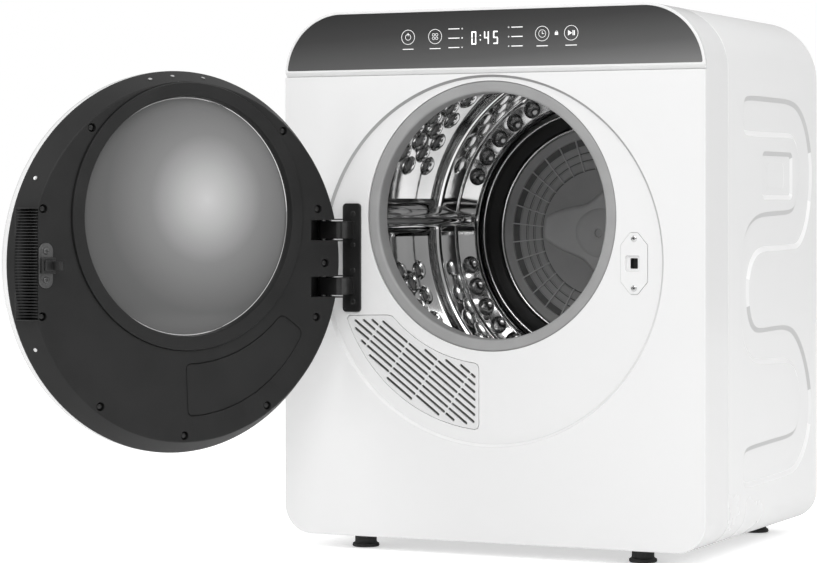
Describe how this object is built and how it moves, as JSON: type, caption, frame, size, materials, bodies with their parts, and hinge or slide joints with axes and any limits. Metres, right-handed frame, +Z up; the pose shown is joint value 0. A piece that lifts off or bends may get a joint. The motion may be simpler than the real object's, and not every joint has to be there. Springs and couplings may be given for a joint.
{
  "type": "clothes dryer",
  "caption": "Compact free-standing vented clothes dryer with a round side-hung glazed door, touch control panel, steel drum and rear exhaust outlet.",
  "frame": {"origin": "on the floor under the middle of the cabinet, feet resting at z = 0", "axes": "+X to the right seen from the front, +Y from the front to the rear, +Z up"},
  "size_m": [0.6305, 0.7642, 0.588],
  "materials": {
    "white_shell": "gloss white moulding",
    "white_plastic": "satin white moulding",
    "rear_panel": "light grey powder coat",
    "pan_plastic": "dark grey moulding",
    "rubber_black": "black rubber",
    "gasket_rubber": "mid-grey rubber",
    "felt": "wool felt",
    "panel_glass": "dark gloss printed panel",
    "display_black": "black",
    "circuit_board": "green laminate",
    "inner_plastic": "grey moulding",
    "steel": "zinc plated steel",
    "screw_steel": "bright plated",
    "drum_steel": "polished stainless steel",
    "black_plastic": "black moulding",
    "hinge_black": "satin black",
    "liner_grey": "charcoal moulding",
    "filter_grey": "grey moulding",
    "heater_ceramic": "ceramic",
    "motor_paint": "grey enamel",
    "door_glass": "clear tempered glass",
    "window_tint": "tinted clear moulding"
  },
  "bodies": {
    "cabinet": {"front_shell": "white_shell", "rear_shell": "white_shell", "back_cover": "rear_panel", "base_pan": "pan_plastic", "feet": "rubber_black", "control_bezel": "white_plastic", "control_glass": "panel_glass", "display_module": "display_black", "control_board": "circuit_board", "front_bulkhead": "inner_plastic", "front_felt": "felt", "door_gasket": "gasket_rubber", "vent_grille": "white_plastic", "latch_receiver": "white_plastic", "front_screws": "screw_steel", "door_switch": "pan_plastic", "hinge_bracket": "hinge_black", "rear_bulkhead": "steel", "rear_seal": "felt", "rear_bearing_ring": "black_plastic", "filter_trim": "drum_steel", "filter_cover": "filter_grey", "filter_mesh": "steel", "heater_housing": "steel", "heater_core": "heater_ceramic", "thermal_cutouts": "heater_ceramic", "fan_housing": "pan_plastic", "exhaust_spigot": "pan_plastic", "motor_housing": "motor_paint", "motor_bracket": "steel", "capacitor": "white_plastic", "drum_belt": "rubber_black", "fan_belt": "rubber_black", "roller_axles": "steel", "cord_gland": "rubber_black", "back_screws": "screw_steel"},
    "door": {"door_outer_shell": "white_shell", "door_window": "window_tint", "door_liner": "liner_grey", "glass_ring": "liner_grey", "door_glass": "door_glass", "hinge_pins": "steel", "latch_plate": "steel", "latch_hook": "black_plastic", "grip_insert": "black_plastic", "liner_screws": "black_plastic"},
    "drum": {"drum_shell": "drum_steel", "drum_back": "drum_steel", "lifters": "pan_plastic"},
    "motor_rotor": {"motor_shaft": "steel", "drive_pulley": "steel", "fan_drive_pulley": "steel"},
    "fan": {"fan_impeller": "pan_plastic", "fan_pulley": "pan_plastic", "fan_axle": "steel"},
    "roller_left": {"roller_left": "white_plastic"},
    "roller_right": {"roller_right": "white_plastic"},
    "tension_arm": {"tension_arm": "steel"},
    "idler_pulley": {"idler_pulley": "white_plastic"},
    "switch_plunger": {"switch_plunger": "black_plastic"}
  },
  "joints": [
    {"name": "door_hinge", "type": "hinge", "parent": "cabinet", "child": "door", "pos_m": [-0.1848, -0.2181, 0.3169], "axis": [0, 0, 1], "range_deg": [0, 119.1]},
    {"name": "drum_spin", "type": "hinge", "parent": "cabinet", "child": "drum", "pos_m": [0, -0.0335, 0.34378], "axis": [0, 1, 0], "continuous": true},
    {"name": "motor_spin", "type": "hinge", "parent": "cabinet", "child": "motor_rotor", "pos_m": [0.14, 0.0065, 0.081], "axis": [0, 1, 0], "continuous": true},
    {"name": "fan_spin", "type": "hinge", "parent": "cabinet", "child": "fan", "pos_m": [0, 0.1615, 0.34378], "axis": [0, 1, 0], "continuous": true},
    {"name": "roller_left_spin", "type": "hinge", "parent": "cabinet", "child": "roller_left", "pos_m": [-0.12302, -0.1275, 0.14691], "axis": [0, 1, 0], "continuous": true},
    {"name": "roller_right_spin", "type": "hinge", "parent": "cabinet", "child": "roller_right", "pos_m": [0.12302, -0.1275, 0.14691], "axis": [0, 1, 0], "continuous": true},
    {"name": "tension_swing", "type": "hinge", "parent": "cabinet", "child": "tension_arm", "pos_m": [0.05156, -0.0515, 0.04418], "axis": [0, 1, 0], "range_deg": [-15, 0], "stiffness_Nm_per_rad": 1.5, "springref_deg": 17.19},
    {"name": "idler_spin", "type": "hinge", "parent": "tension_arm", "child": "idler_pulley", "pos_m": [0.05756, -0.0585, 0.08218], "axis": [0, 1, 0], "continuous": true},
    {"name": "plunger_press", "type": "slide", "parent": "cabinet", "child": "switch_plunger", "axis": [0, 0, -1], "range_m": [0, 0.0015], "stiffness_N_per_m": 300}
  ],
  "couplings": [
    {"joint": "motor_spin", "follows": "drum_spin", "ratio": 21.015},
    {"joint": "fan_spin", "follows": "drum_spin", "ratio": 21.015},
    {"joint": "roller_left_spin", "follows": "drum_spin", "ratio": -9.5364},
    {"joint": "roller_right_spin", "follows": "drum_spin", "ratio": -9.5364},
    {"joint": "idler_spin", "follows": "drum_spin", "ratio": -15.154}
  ]
}
